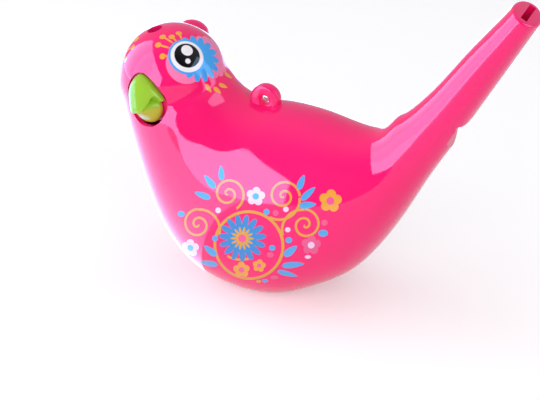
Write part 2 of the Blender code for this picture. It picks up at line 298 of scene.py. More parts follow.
def smooth_run(stops, steps):
    """Places along a smooth curve that passes through the stops."""
    hull = list(stops)
    for _ in range(HULL_ROUNDS):
        hull[1:-1] = [
            here + stop - (before + 4 * here + after) / 6
            for before, here, after, stop in zip(hull, hull[1:], hull[2:], stops[1:])
        ]
    hull = [2 * hull[0] - hull[1], *hull, 2 * hull[-1] - hull[-2]]
    run = []
    for one, two, three, four in zip(hull, hull[1:], hull[2:], hull[3:]):
        for step in range(steps):
            t = step / steps
            run.append(
                (
                    (1 - t) ** 3 * one
                    + (3 * t**3 - 6 * t**2 + 4) * two
                    + (-3 * t**3 + 3 * t**2 + 3 * t + 1) * three
                    + t**3 * four
                )
                / 6
            )
    return [*run, stops[-1]]


def loft(name, ring, sections, steps):
    """Copies of a ring bridged into a skin. Each section is (centre, half height, half width)."""
    centres, rises, reaches = (smooth_run(run, steps) for run in zip(*sections))
    copies = []
    for centre, rise, reach in zip(centres, rises, reaches):
        copy = ring.copy()
        copy.data = ring.data.copy()
        copy.data.transform(matrix_of(reach, rise, reach.cross(rise).normalized(), centre))
        bpy.context.collection.objects.link(copy)
        copies.append(copy)
    bpy.data.objects.remove(ring)
    deselect()
    for copy in copies:
        copy.select_set(True)
    skin = copies[0]
    bpy.context.view_layer.objects.active = skin
    bpy.ops.object.join()
    bpy.ops.object.mode_set(mode="EDIT")
    bpy.ops.mesh.select_all(action="SELECT")
    bpy.ops.mesh.bridge_edge_loops(type="SINGLE")
    bpy.ops.mesh.select_all(action="SELECT")
    bpy.ops.mesh.fill_holes(sides=0)
    bpy.ops.object.mode_set(mode="OBJECT")
    finish_mesh(skin)
    skin.name = name
    return skin


def prism(name, outline, way):
    """A flat outline of points, given in millimetres, carried along one straight way."""
    deselect()
    bpy.ops.mesh.primitive_circle_add(vertices=len(outline), radius=1.0, fill_type="NGON")
    made = bpy.context.object
    made.name = name
    for point, place in zip(made.data.vertices, outline):
        point.co = place * MM
    bpy.ops.object.mode_set(mode="EDIT")
    bpy.ops.mesh.select_all(action="SELECT")
    bpy.ops.mesh.extrude_region_move(TRANSFORM_OT_translate={"value": way * MM})
    bpy.ops.object.mode_set(mode="OBJECT")
    finish_mesh(made)
    return made


def across_prism(name, outline, half_width):
    """A side-view outline carried across the mid-plane."""
    start = [point - half_width * ACROSS for point in outline]
    return prism(name, start, 2 * half_width * ACROSS)


def rod(name, radius, length, middle, direction, sides=64):
    turn = direction.to_track_quat("Z", "Y").to_euler()
    deselect()
    bpy.ops.mesh.primitive_cylinder_add(
        vertices=sides, radius=radius * MM, depth=length * MM, location=middle * MM, rotation=turn
    )
    made = bpy.context.object
    made.name = name
    return made


# The skin

def head_sections(inset):
    radius = HEAD_RADIUS - inset
    crown = crown_axis()
    back = Vector((crown.z, 0.0, -crown.x)).normalized()
    across = crown.cross(back)
    first = math.asin((VENT_RADIUS - FIRST_RING_INSIDE_VENT) / HEAD_RADIUS)
    sections = []
    for index in range(HEAD_RINGS):
        angle = first + (HEAD_LAST_RING - first) * index / (HEAD_RINGS - 1)
        reach = radius * math.sin(angle)
        centre = HEAD_MIDDLE + radius * math.cos(angle) * crown
        sections.append((centre, reach * back, reach * across))
    return sections


def trunk_sections(inset):
    sections = []
    for back, keel, half_width in TRUNK_SECTIONS:
        top, bottom = side_view(*back), side_view(*keel)
        half = (top - bottom) / 2
        half -= inset * half.normalized()
        sections.append(((top + bottom) / 2, half, (half_width - inset) * ACROSS))
    return sections


def tail_section(distance, low, high, half_width):
    bottom, top = under_tail(distance, low), under_tail(distance, high)
    return (top + bottom) / 2, (top - bottom) / 2, half_width * ACROSS


def outer_skin():
    sections = head_sections(SKIN_INSET) + trunk_sections(SKIN_INSET)
    for distance, thickness, half_width in MOUTHPIECE_SECTIONS:
        sections.append(tail_section(distance, 0.0, thickness, half_width))
    for share in END_EDGE_SHARES:
        turn = share * math.pi / 2
        pull = END_EDGE * (1 - math.cos(turn))
        distance = END_SHORT + END_EDGE * (1 - math.sin(turn))
        sections.append(tail_section(distance, pull, END_THICKNESS - pull, END_HALF_WIDTH - pull))
    return loft("bird_skin", oval("skin_ring", SKIN_SIDES), sections, SKIN_STEPS)


def hollow():
    """The space inside the skin, less the web over the airway and the boss behind the beak."""
    sections = head_sections(WALL) + trunk_sections(WALL)
    for distance, thickness, half_width in MOUTHPIECE_SECTIONS:
        if distance > HOLLOW_END:
            sections.append(tail_section(distance, WALL, thickness - WALL, half_width - WALL))
    made = loft("hollow", oval("hollow_ring", SKIN_SIDES // 2), sections, SKIN_STEPS)
    web = [
        under_tail(-PAST, -PAST),
        under_tail(-PAST, (END_THICKNESS + SLOT_HEIGHT) / 2 + WEB_THICKNESS),
        under_tail(LIP_END, EXIT_DEPTH + EXIT_HEIGHT + WEB_THICKNESS),
        under_tail(LIP_END, BLADE_BACK),
        under_tail(WINDOW_END + BLADE_RAMP, BLADE_BACK),
        under_tail(WINDOW_END + 2 * BLADE_RAMP, WALL / 2),
        under_tail(WINDOW_END + 2 * BLADE_RAMP, -PAST),
    ]
    combine(made, "DIFFERENCE", across_prism("airway_web", web, SLOT_WIDTH))
    place = head_point(BOSS_MIDDLE, 0.0, 0.0)
    boss = rod("boss", BOSS_RADIUS, BOSS_LENGTH, place, head_axes()[0])
    combine(made, "DIFFERENCE", boss)
    return made


def flatten_foot(skin):
    """Cuts the keel flat where the bird stands, and closes the cut."""
    select_only(skin)
    bpy.ops.object.mode_set(mode="EDIT")
    bpy.ops.mesh.select_all(action="SELECT")
    bpy.ops.mesh.bisect(
        plane_co=(0, 0, 0), plane_no=(0, 0, 1), use_fill=True, clear_inner=True, threshold=1e-6
    )
    bpy.ops.object.mode_set(mode="OBJECT")
    finish_mesh(skin)


def hanging_loop():
    """A flat ring with rounded edges that stands on the back."""
    disc = rod("loop_disc", LOOP_RADIUS, LOOP_THICKNESS, LOOP_MIDDLE, ACROSS)
    finish_mesh(disc)
    hole = rod("loop_hole", LOOP_HOLE_RADIUS, LOOP_HOLE_LENGTH, LOOP_MIDDLE, ACROSS)
    combine(disc, "DIFFERENCE", hole)
    edge = disc.modifiers.new("rounded edge", "BEVEL")
    edge.width = LOOP_EDGE * MM
    edge.segments = LOOP_EDGE_STEPS
    apply_modifier(disc, edge)
    return disc


def crest():
    """A tuft that lies back from the crown."""
    forward, left, up = head_axes()
    deselect()
    bpy.ops.mesh.primitive_uv_sphere_add(segments=64, ring_count=32, radius=1.0)
    tuft = bpy.context.object
    tuft.name = "crest"
    slope = Matrix.Rotation(-CREST_SLOPE, 4, "Y") @ Matrix.Diagonal((*CREST_SIZE, 1.0))
    tuft.data.transform(matrix_of(forward, left, up, head_point(*CREST_PLACE)) @ slope)
    return tuft


def slot_tool():
    middle = END_THICKNESS / 2
    outline = [
        under_tail(-PAST, middle - SLOT_HEIGHT / 2),
        under_tail(-PAST, middle + SLOT_HEIGHT / 2),
        under_tail(LIP_END, EXIT_DEPTH + EXIT_HEIGHT),
        under_tail(LIP_END, EXIT_DEPTH),
    ]
    return across_prism("slot_tool", outline, SLOT_WIDTH / 2)


def window_tool():
    """The window into the hollow, and the ramp that sharpens the blade."""
    deep = BLADE_BACK + 2 * PAST
    outline = [
        under_tail(WINDOW_START, -PAST),
        under_tail(WINDOW_START, deep),
        under_tail(WINDOW_END, deep),
        under_tail(WINDOW_END, BLADE_DEPTH),
        under_tail(WINDOW_END + BLADE_RAMP, 0.0),
        under_tail(WINDOW_END + BLADE_RAMP, -PAST),
    ]
    return across_prism("window_tool", outline, WINDOW_WIDTH / 2)


def notch_tool():
    """The step under the tail: a rounded lip, then a long slope back out to the keel."""
    outline = [under_tail(LIP_END - LIP_LENGTH, -PAST)]
    for index in range(LIP_STEPS + 1):
        turn = math.pi / 2 * index / LIP_STEPS
        distance = LIP_END - LIP_LENGTH * (1 - math.sin(turn))
        outline.append(under_tail(distance, NOTCH_DEPTH * (1 - math.cos(turn))))
    outline += [under_tail(NOTCH_END, NOTCH_RUN_OUT), under_tail(NOTCH_END, -PAST)]
    return across_prism("notch_tool", outline, 2 * END_HALF_WIDTH)


def vent_tool():
    crown = crown_axis()
    place = HEAD_MIDDLE + HEAD_RADIUS * crown
    return rod("vent_tool", VENT_RADIUS, VENT_TOOL_LENGTH, place, crown)


def socket_tool():
    """A recess with a flat floor, wider all round than the root of the beak."""
    forward, left, up = head_axes()
    ring = oval("socket_ring", SOCKET_SIDES, SOCKET_LOW_SHARE, SOCKET_PEAK)
    middle = (SOCKET_TOP + SOCKET_BOTTOM) / 2
    rise = (SOCKET_TOP - SOCKET_BOTTOM) / 2 * up
    start = head_point(SOCKET_FLOOR, 0.0, middle)
    outline = [
        start + point.co.x * SOCKET_HALF_WIDTH * left + point.co.y * rise
        for point in ring.data.vertices
    ]
    bpy.data.objects.remove(ring)
    return prism("socket_tool", outline, SOCKET_TOOL_LENGTH * forward)


def bird_skin():
    skin = outer_skin()
    flatten_foot(skin)
    combine(skin, "UNION", hanging_loop())
    combine(skin, "UNION", crest())
    combine(skin, "DIFFERENCE", hollow())
    combine(skin, "DIFFERENCE", slot_tool())
    combine(skin, "DIFFERENCE", window_tool())
    combine(skin, "DIFFERENCE", notch_tool())
    combine(skin, "DIFFERENCE", vent_tool())
    combine(skin, "DIFFERENCE", socket_tool())
    shade(skin)
    return skin


# The beak

def bill(name, sections, low_share, peak):
    left = head_axes()[1]
    stations = []
    for top, bottom, half_width in sections:
        high = head_point(top[0], 0.0, top[1])
        low = head_point(bottom[0], 0.0, bottom[1])
        stations.append(((high + low) / 2, (high - low) / 2, half_width * left))
    return loft(name, oval(f"{name}_ring", BILL_SIDES, low_share, peak), stations, BILL_STEPS)


def beak_bills():
    beak = bill("beak_bills", UPPER_BILL, UPPER_BILL_LOW_SHARE, BILL_PEAK)
    combine(beak, "UNION", bill("lower_bill", LOWER_BILL, LOWER_BILL_LOW_SHARE, 0.0))
    place = head_point(PEG_MIDDLE, 0.0, 0.0)
    combine(beak, "UNION", rod("beak_peg", PEG_RADIUS, PEG_LENGTH, place, head_axes()[0]))
    shade(beak)
    return beak


# Shader building

def colour(red, green, blue):
    """A screen colour, 0 to 255, as the linear colour that a shader takes."""
    linear = []
    for part in (red, green, blue):
        share = part / 255
        linear.append(share / 12.92 if share <= 0.04045 else ((share + 0.055) / 1.055) ** 2.4)
    return (*linear, 1.0)


def feed(tree, socket, value):
    if isinstance(value, bpy.types.NodeSocket):
        tree.links.new(value, socket)
    else:
        socket.default_value = value


def calculate(tree, operation, *values):
    node = tree.nodes.new("ShaderNodeMath")
    node.operation = operation
    for socket, value in zip(node.inputs, values):
        feed(tree, socket, value)
    return node.outputs["Value"]


def vector(tree, operation, *values):
    node = tree.nodes.new("ShaderNodeVectorMath")
    node.operation = operation
    for socket, value in zip(node.inputs, values):
        feed(tree, socket, value)
    return node.outputs["Value" if operation in ("DOT_PRODUCT", "LENGTH") else "Vector"]


def scaled(tree, value, factor):
    node = tree.nodes.new("ShaderNodeVectorMath")
    node.operation = "SCALE"
    feed(tree, node.inputs[0], value)
    feed(tree, node.inputs["Scale"], factor)
    return node.outputs["Vector"]


def noise(tree, place, scale, detail):
    node = tree.nodes.new("ShaderNodeTexNoise")
    feed(tree, node.inputs["Vector"], place)
    node.inputs["Scale"].default_value = scale
    node.inputs["Detail"].default_value = detail
    return node.outputs[0]


def clamped(tree, value):
    return calculate(tree, "MINIMUM", calculate(tree, "MAXIMUM", value, 0.0), 1.0)


def blend(tree, share, under, over):
    node = tree.nodes.new("ShaderNodeMix")
    node.data_type = "RGBA"
    feed(tree, node.inputs[0], share)
    feed(tree, node.inputs[6], under)
    feed(tree, node.inputs[7], over)
    return node.outputs[2]


def new_group(name, inputs, outputs):
    """A node group and its input and output nodes. Inputs are given as name: (kind, value)."""
    tree = bpy.data.node_groups.new(name, "ShaderNodeTree")
    for label, (kind, value) in inputs.items():
        socket = tree.interface.new_socket(label, in_out="INPUT", socket_type=f"NodeSocket{kind}")
        socket.default_value = value
    for label, kind in outputs.items():
        tree.interface.new_socket(label, in_out="OUTPUT", socket_type=f"NodeSocket{kind}")
    return tree, tree.nodes.new("NodeGroupInput").outputs, tree.nodes.new("NodeGroupOutput").inputs


def place_group(tree, group, **values):
    """A copy of a group in a material, with its own values."""
    node = tree.nodes.new("ShaderNodeGroup")
    node.node_tree = group
    for label, value in values.items():
        feed(tree, node.inputs[label.replace("_", " ")], value)
    return node.outputs


# Share of ink gained per millimetre at a printed edge
EDGE_STEEPNESS = 7.0


def crisp(tree, depth):
    """Full ink where the depth inside a shape is above zero, with a thin soft edge."""
    return clamped(tree, calculate(tree, "MULTIPLY_ADD", depth, EDGE_STEEPNESS, 0.5))


# What every printed shape is given: a place in the print's plane, and the shape's own middle
PLACE_AND_MIDDLE = {
    "Across": ("Float", 0.0),
    "Up": ("Float", 0.0),
    "Middle Across": ("Float", 0.0),
    "Middle Up": ("Float", 0.0),
}


def polar(tree, given, turn):
    """Distance and angle of a place about a shape's middle, the angle from a turn."""
    across = calculate(tree, "SUBTRACT", given["Across"], given["Middle Across"])
    up = calculate(tree, "SUBTRACT", given["Up"], given["Middle Up"])
    angle = calculate(tree, "SUBTRACT", calculate(tree, "ARCTAN2", up, across), turn)
    radius = length_of(tree, across, up)
    return radius, calculate(tree, "WRAP", angle, math.pi, -math.pi)


def length_of(tree, one, other):
    square = calculate(tree, "MULTIPLY", one, one)
    return calculate(tree, "SQRT", calculate(tree, "MULTIPLY_ADD", other, other, square))


def petal_group():
    """Ovals set round a centre: a flower's petals, or a single dot or leaf when the count is 1."""
    tree, given, put = new_group(
        "printed petals",
        {
            **PLACE_AND_MIDDLE,
            "Count": ("Float", 1.0),
            "Turn": ("Float", 0.0),
            "Reach": ("Float", 0.0),
            "Length": ("Float", 1.0),
            "Width": ("Float", 1.0),
            "Point": ("Float", 0.0),
        },
        {"Ink": "Float"},
    )
    radius, angle = polar(tree, given, given["Turn"])
    step = calculate(tree, "DIVIDE", math.tau, given["Count"])
    whole = calculate(tree, "ROUND", calculate(tree, "DIVIDE", angle, step))
    local = calculate(tree, "SUBTRACT", angle, calculate(tree, "MULTIPLY", whole, step))
    along = calculate(tree, "MULTIPLY", radius, calculate(tree, "COSINE", local))
    along = calculate(tree, "SUBTRACT", along, given["Reach"])
    along = calculate(tree, "DIVIDE", along, given["Length"])
    aside = calculate(tree, "MULTIPLY", radius, calculate(tree, "SINE", local))
    taper = calculate(tree, "SUBTRACT", 1.0, calculate(tree, "MULTIPLY", along, given["Point"]))
    taper = calculate(tree, "MAXIMUM", taper, 0.1)
    aside = calculate(tree, "DIVIDE", aside, calculate(tree, "MULTIPLY", given["Width"], taper))
    depth = calculate(tree, "SUBTRACT", 1.0, length_of(tree, along, aside))
    feed(tree, put["Ink"], crisp(tree, calculate(tree, "MULTIPLY", depth, given["Width"])))
    return tree


def arc_group():
    """A line of even width along part of a circle."""
    tree, given, put = new_group(
        "printed arc",
        {
            **PLACE_AND_MIDDLE,
            "Radius": ("Float", 1.0),
            "Line": ("Float", 0.6),
            "Middle": ("Float", 0.0),
            "Spread": ("Float", 4.0),
        },
        {"Ink": "Float"},
    )
    radius, angle = polar(tree, given, given["Middle"])
    off = calculate(tree, "ABSOLUTE", calculate(tree, "SUBTRACT", radius, given["Radius"]))
    depth = calculate(tree, "SUBTRACT", calculate(tree, "MULTIPLY", given["Line"], 0.5), off)
    left = calculate(tree, "SUBTRACT", given["Spread"], calculate(tree, "ABSOLUTE", angle))
    left = calculate(tree, "MULTIPLY", left, given["Radius"])
    feed(tree, put["Ink"], crisp(tree, calculate(tree, "MINIMUM", depth, left)))
    return tree


def scroll_group():
    """A line of even width that winds in to a centre. Hand is 1 or -1."""
    tree, given, put = new_group(
        "printed scroll",
        {
            **PLACE_AND_MIDDLE,
            "Reach": ("Float", 4.0),
            "Pitch": ("Float", 2.0),
            "Line": ("Float", 0.6),
            "Start": ("Float", 0.0),
            "Hand": ("Float", 1.0),
        },
        {"Ink": "Float"},
    )
    radius, angle = polar(tree, given, given["Start"])
    inward = calculate(tree, "SUBTRACT", given["Reach"], radius)
    turns = calculate(tree, "DIVIDE", inward, given["Pitch"])
    wound = calculate(tree, "MULTIPLY", calculate(tree, "DIVIDE", angle, math.tau), given["Hand"])
    phase = calculate(tree, "SUBTRACT", turns, wound)
    coil = calculate(tree, "ROUND", phase)
    off = calculate(tree, "ABSOLUTE", calculate(tree, "SUBTRACT", phase, coil))
    off = calculate(tree, "MULTIPLY", off, given["Pitch"])
    half = calculate(tree, "MULTIPLY", given["Line"], 0.5)
    depth = calculate(tree, "SUBTRACT", half, off)
    started = calculate(tree, "MULTIPLY_ADD", coil, 100.0, calculate(tree, "MULTIPLY", wound, 20.0))
    depth = calculate(tree, "MINIMUM", depth, started)
    feed(tree, put["Ink"], crisp(tree, depth))
    return tree


def moulding_group():
    """Slow colour drift, fine ripple and uneven polish of moulded plastic."""
    tree, given, put = new_group(
        "moulded surface",
        {
            "Place": ("Vector", (0, 0, 0)),
            "Colour": ("Color", (1, 1, 1, 1)),
            "Deep Colour": ("Color", (1, 1, 1, 1)),
            "Roughness": ("Float", 0.1),
        },
        {"Colour": "Color", "Roughness": "Float", "Height": "Float"},
    )
    drift = noise(tree, given["Place"], scale=28.0, detail=1.0)
    feed(tree, put["Colour"], blend(tree, drift, given["Colour"], given["Deep Colour"]))
    polish = noise(tree, given["Place"], scale=180.0, detail=3.0)
    uneven = calculate(tree, "MULTIPLY_ADD", polish, 0.06, -0.03)
    feed(tree, put["Roughness"], calculate(tree, "ADD", given["Roughness"], uneven))
    feed(tree, put["Height"], noise(tree, given["Place"], scale=60.0, detail=1.0))
    return tree


# Inks
GOLD = colour(228, 166, 62)
ORANGE = colour(245, 168, 66)
SKY = colour(84, 172, 238)
DEEP_SKY = colour(62, 142, 216)
LILAC = colour(240, 208, 240)
ROSE = colour(240, 92, 146)
HOT_PINK = colour(246, 96, 160)
EYE_BLUE = colour(62, 170, 250)
FAN_PINK = colour(255, 128, 182)
WHITE = colour(245, 240, 246)
BLACK = colour(8, 6, 12)

# Plastics and floor
PINK = colour(255, 34, 124)
DEEP_PINK = colour(253, 22, 108)
GREEN = colour(166, 214, 60)
DEEP_GREEN = colour(156, 208, 48)
# Painted shade and pink bounce light for the lower bill, not a colour of the plastic
PAINTED_SHADE_AND_BOUNCE_OLIVE = colour(196, 190, 58)
FLOOR_GREY = colour(232, 232, 234)

# Belly print, in millimetres across and up the plane that it was pressed on from
FACING_LIMIT = 0.12
MEDALLION = (-19.1, 12.5)
MEDALLION_RADIUS = 9.15
MEDALLION_LINE = 0.72
STEM_LINE = 0.62
SCROLL_LINE = 0.6
SCROLL_PITCH = 2.35
LEAF_POINT = 0.35
DAISY = (-20.8, 14.5)
SCROLLS = (
    # middle, reach, start angle, hand
    ((-9.84, 25.75), 4.25, 0, 1),
    ((-4.2, 18.2), 4.1, 90, -1),
    ((-24.5, 26.4), 4.5, -60, 1),
    ((-32.8, 18.2), 4.1, 90, 1),
)
STEMS = (
    # middle, radius, middle angle, half spread
    ((-10.95, 24.9), 5.35, -57, 61),
    ((-4.8, 16.8), 5.4, 140, 55),
    ((-32.2, 16.8), 5.4, 40, 55),
    ((-21.3, 16.1), 7.4, -93, 26),
)
LEAVES = (
    # middle, half length, half width, angle
    ((-5.2, 29.4), 2.0, 0.8, 68),
    ((-3.4, 26.4), 2.4, 0.78, 43),
    ((-3.5, 23.4), 2.15, 0.85, 7),
    ((-7.9, 11.2), 2.1, 0.95, 39),
    ((-7.2, 7.4), 2.9, 0.82, 6),
    ((-8.7, 4.9), 2.7, 0.7, -15),
    ((-26.3, 31.9), 1.9, 0.75, 95),
    ((-29.4, 29.6), 2.2, 0.8, 130),
    ((-31.4, 26.0), 2.2, 0.8, 160),
    ((-29.6, 11.0), 2.1, 0.9, 141),
    ((-30.3, 7.4), 2.6, 0.8, 172),
)
DOTS = (
    # ink, then each dot's middle, half width, half height
    (
        SKY,
        (
            ((-14.3, 21.6), 0.8, 0.8),
            ((-8.4, 14.1), 0.86, 0.76),
            ((0.6, 16.0), 1.27, 0.92),
            ((-12.8, 12.0), 0.82, 0.74),
            ((-14.7, 2.8), 0.8, 0.5),
            ((-28.2, 14.4), 0.8, 0.76),
            ((-37.4, 21.0), 1.0, 0.8),
        ),
    ),
    (
        ROSE,
        (
            ((-11.9, 21.3), 0.78, 0.78),
            ((0.9, 18.8), 0.8, 0.78),
            ((-13.3, 10.1), 0.9, 0.75),
            ((-12.2, 3.8), 1.0, 0.55),
        ),
    ),
    (
        LILAC,
        (
            ((-9.2, 22.3), 0.72, 0.72),
            ((-8.7, 16.9), 0.72, 0.66),
            ((-3.3, 9.6), 0.8, 0.5),
            ((-27.2, 22.0), 0.75, 0.75),
        ),
    ),
    (GOLD, (((-16.5, 2.6), 0.7, 0.4),)),
)
FLOWERS = (
    # petal ink, heart ink, then each flower's middle, reach, turn
    (LILAC, SKY, (((-17.15, 25.7), 2.5, 10), ((-35.2, 11.6), 2.5, 14))),
    (
        ORANGE,
        HOT_PINK,
        (((2.4, 24.5), 3.0, 12), ((-21.1, 5.8), 2.3, 20), ((-16.3, 7.1), 1.8, 8)),
    ),
    (ROSE, LILAC, (((-2.5, 12.8), 2.6, 14),)),
)

# Parts of a small flower as shares of its reach
PETAL_PLACE_SHARE = 0.58
PETAL_SHARE = 0.42
FLOWER_DISC_SHARE = 0.72
HEART_SHARE = 0.34

# Eye print, in millimetres across and up the plane that touches the head at the eye's middle
EYE_FORWARD, EYE_LEFT, EYE_UP = 0.438, 0.753, 0.49
EYE_DEPTH_LIMIT = 4.0
EYE_MIDDLE = (0.23, 0.1)
EYE_RADIUS = 5.1
EYE_WHITE_RADIUS = 4.5
PUPIL = (0.28, 0.3)
PUPIL_RADIUS = 3.5
GLINTS = (
    # middle, radius
    ((0.8, 1.62), 1.58),
    ((-0.32, -1.3), 0.72),
)
PINK_FAN = (6.9, -1.1)
PINK_PATCH = (-0.9, -1.57)
PINK_PATCH_RADIUS = 5.35
BLUE_FAN = (3.0, -1.0)
LASH_STEM = 0.28
LASH_HEAD = (0.72, 0.84)
LASHES = (
    # angle about the eye's middle, distance of the head
    (80, 7.4),
    (99, 7.0),
    (111, 8.6),
    (131, 8.2),
    (157, 6.5),
)
DROP_SIZE = (1.25, 0.62)
DROP_POINT = 0.4
DROPS = (
    # middle, angle
    ((13.2, -3.6), -20),
    ((11.1, -7.0), -45),
    ((7.6, -9.8), -35),
    ((5.2, -10.6), -60),
    ((3.0, -9.4), -75),
)


class Print:
    """Inks laid one over another in a material. Places and sizes are in one plane."""

    def __init__(self, tree, groups, across, up, limit, under):
        self.tree = tree
        self.groups = groups
        self.across = across
        self.up = up
        self.limit = limit
        self.colour = under
        self.cover = 0.0

    def lay(self, ink, shapes):
        """Lays one ink through all the given shapes."""
        cover = 0.0
        for shape in shapes:
            cover = calculate(self.tree, "MAXIMUM", cover, shape)
        cover = calculate(self.tree, "MULTIPLY", cover, self.limit)
        self.colour = blend(self.tree, cover, self.colour, ink)
        self.cover = calculate(self.tree, "MAXIMUM", self.cover, cover)

    def shape(self, kind, middle, **values):
        place = {"Across": self.across, "Up": self.up}
        values |= {"Middle_Across": middle[0], "Middle_Up": middle[1]}
        return place_group(self.tree, self.groups[kind], **place, **values)["Ink"]

    def disc(self, centre, radius):
        return self.shape("petals", centre, Length=radius, Width=radius)

    def oval(self, centre, length, width, turn=0, point=0.0):
        angle = math.radians(turn)
        return self.shape("petals", centre, Length=length, Width=width, Turn=angle, Point=point)

    def petals(self, centre, count, turn, reach, length, width):
        return self.shape(
            "petals",
            centre,
            Count=float(count),
            Turn=math.radians(turn),
            Reach=reach,
            Length=length,
            Width=width,
        )

    def arc(self, centre, radius, line, middle=0, spread=200):
        turn, half = math.radians(middle), math.radians(spread)
        return self.shape("arc", centre, Radius=radius, Line=line, Middle=turn, Spread=half)

    def scroll(self, centre, reach, pitch, line, start, hand):
        return self.shape(
            "scroll",
            centre,
            Reach=reach,
            Pitch=pitch,
            Line=line,
            Start=math.radians(start),
            Hand=float(hand),
        )


def folded(tree, value, axis):
    """The same vector with its share along an axis made positive, so both sides get the same."""
    along = vector(tree, "DOT_PRODUCT", value, axis)
    short = calculate(tree, "SUBTRACT", calculate(tree, "ABSOLUTE", along), along)
    return vector(tree, "ADD", value, scaled(tree, axis, short))


def facing(tree, normal, direction):
    """1 on faces turned towards a direction, fading out before they turn away."""
    turned = vector(tree, "DOT_PRODUCT", normal, direction)
    return crisp(tree, calculate(tree, "SUBTRACT", turned, FACING_LIMIT))


def belly_print(tree, groups, place, normal, under):
    across, up, back = camera_axes()
    side = -ACROSS
    point = folded(tree, place, side)
    limit = facing(tree, folded(tree, normal, side), back)
    distances = [vector(tree, "DOT_PRODUCT", point, way) for way in (across, up)]
    work = Print(tree, groups, *distances, limit, under)
    lines = [work.arc(MEDALLION, MEDALLION_RADIUS, MEDALLION_LINE)]
    for centre, radius, middle, spread in STEMS:
        lines.append(work.arc(centre, radius, STEM_LINE, middle, spread))
    for centre, reach, start, hand in SCROLLS:
        lines.append(work.scroll(centre, reach, SCROLL_PITCH, SCROLL_LINE, start, hand))
    work.lay(GOLD, lines)
    work.lay(SKY, [work.oval(*leaf, point=LEAF_POINT) for leaf in LEAVES])
    for ink, dots in DOTS:
        work.lay(ink, [work.oval(*dot) for dot in dots])
    for ink, heart, flowers in FLOWERS:
        shapes = []
        for middle, reach, turn in flowers:
            petal = PETAL_SHARE * reach
            shapes.append(work.petals(middle, 5, turn, PETAL_PLACE_SHARE * reach, petal, petal))
            shapes.append(work.disc(middle, FLOWER_DISC_SHARE * reach))
        work.lay(ink, shapes)
        work.lay(heart, [work.disc(middle, HEART_SHARE * reach) for middle, reach, _ in flowers])
    work.lay(DEEP_SKY, [work.petals(DAISY, 15, 6, 4.5, 1.9, 0.8), work.disc(DAISY, 3.9)])
    work.lay(GOLD, [work.petals(DAISY, 14, 0, 2.1, 1.0, 0.3), work.disc(DAISY, 1.75)])
    work.lay(HOT_PINK, [work.disc(DAISY, 1.05)])
    return work


def eye_print(tree, groups, place, normal, under):
    forward, left, up = head_axes()
    gaze = EYE_FORWARD * forward + EYE_LEFT * left + EYE_UP * up
    rise = (up - up.dot(gaze) * gaze).normalized()
    across = rise.cross(gaze)
    offset = vector(tree, "SUBTRACT", place, HEAD_MIDDLE)
    point = folded(tree, offset, left)
    depth = vector(tree, "DOT_PRODUCT", point, gaze)
    near = crisp(tree, calculate(tree, "SUBTRACT", depth, EYE_DEPTH_LIMIT))
    distances = [vector(tree, "DOT_PRODUCT", point, way) for way in (across, rise)]
    work = Print(tree, groups, *distances, near, under)
    fan = [work.petals(PINK_FAN, 15, 0, 4.9, 1.3, 1.3), work.disc(PINK_FAN, 5.0)]
    work.lay(FAN_PINK, [*fan, work.disc(PINK_PATCH, PINK_PATCH_RADIUS)])
    work.lay(EYE_BLUE, [work.petals(BLUE_FAN, 15, 5, 4.7, 1.9, 0.98), work.disc(BLUE_FAN, 4.3)])
    lashes = []
    for angle, reach in LASHES:
        way = Vector((math.cos(math.radians(angle)), math.sin(math.radians(angle))))
        middle = Vector(EYE_MIDDLE)
        stem_half = (reach - EYE_RADIUS) / 2
        stem_middle = middle + (reach - stem_half) * way
        lashes.append(work.oval(stem_middle, stem_half, LASH_STEM, angle))
        lashes.append(work.oval(middle + reach * way, *LASH_HEAD, angle))
    drops = [work.oval(middle, *DROP_SIZE, angle, DROP_POINT) for middle, angle in DROPS]
    work.lay(ORANGE, lashes + drops)
    work.lay(EYE_BLUE, [work.disc(EYE_MIDDLE, EYE_RADIUS)])
    work.lay(WHITE, [work.disc(EYE_MIDDLE, EYE_WHITE_RADIUS)])
    work.lay(BLACK, [work.disc(PUPIL, PUPIL_RADIUS)])
    work.lay(WHITE, [work.disc(*glint) for glint in GLINTS])
    return work


# Materials

def blank_material(name):
    made = bpy.data.materials.new(name)
    made.use_nodes = True
    tree = made.node_tree
    return made, tree, tree.nodes["Principled BSDF"].inputs


def bump(tree, height):
    """A faint ripple. Its distance is in metres."""
    node = tree.nodes.new("ShaderNodeBump")
    node.inputs["Strength"].default_value = 0.12
    node.inputs["Distance"].default_value = 0.0006
    feed(tree, node.inputs["Height"], height)
    return node.outputs["Normal"]


def printed_pink(groups):
    made, tree, shader = blank_material("printed_pink_plastic")
    where = tree.nodes.new("ShaderNodeTexCoord").outputs
    surface = place_group(
        tree,
        groups["moulding"],
        Place=where["Object"],
        Colour=PINK,
        Deep_Colour=DEEP_PINK,
        Roughness=0.06,
    )
    place = scaled(tree, where["Object"], 1 / MM)
    belly = belly_print(tree, groups, place, where["Normal"], surface["Colour"])
    eye = eye_print(tree, groups, place, where["Normal"], belly.colour)
    cover = calculate(tree, "MAXIMUM", belly.cover, eye.cover)
    feed(tree, shader["Base Color"], eye.colour)
    inked = calculate(tree, "MULTIPLY_ADD", cover, 0.02, surface["Roughness"])
    feed(tree, shader["Roughness"], inked)
    feed(tree, shader["Normal"], bump(tree, surface["Height"]))
    shader["Specular IOR Level"].default_value = 0.35
    shader["Coat Weight"].default_value = 0.1
    shader["Coat Roughness"].default_value = 0.03
    return made


